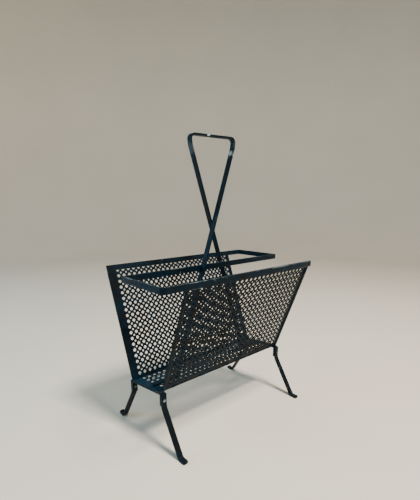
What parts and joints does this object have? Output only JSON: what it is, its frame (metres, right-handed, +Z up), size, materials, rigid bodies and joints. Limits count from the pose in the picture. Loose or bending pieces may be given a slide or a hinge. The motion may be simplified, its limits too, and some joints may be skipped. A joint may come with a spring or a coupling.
{
  "type": "magazine rack",
  "caption": "Painted flat-bar magazine rack with flared perforated side panels, an S-shaped top rail making two compartments, a crossed-leg carrying handle and splayed feet.",
  "frame": {"origin": "on the floor under the middle of the rack", "axes": "+Z up, +X along the rack's length, +Y from the front panel to the back panel"},
  "size_m": [0.344, 0.2, 0.489],
  "materials": {
    "perforated_sheet": "blue-black enamel, semi-gloss, slightly worn",
    "flat_bar": "blue-black enamel, semi-gloss, chipped on edges",
    "rivets": "painted over, rubbed bright on the heads",
    "welds": "painted over"
  },
  "bodies": {
    "root": {"front_panel": "perforated_sheet", "back_panel": "perforated_sheet", "base_plate": "perforated_sheet", "front_rail": "flat_bar", "back_rail": "flat_bar", "middle_rail": "flat_bar", "handle": "flat_bar", "left_strap": "flat_bar", "right_strap": "flat_bar", "leg_front_left": "flat_bar", "leg_front_right": "flat_bar", "leg_back_left": "flat_bar", "leg_back_right": "flat_bar", "leg_rivets": "rivets", "seam_welds": "welds", "rail_welds": "welds", "handle_welds": "welds"}
  },
  "joints": []
}
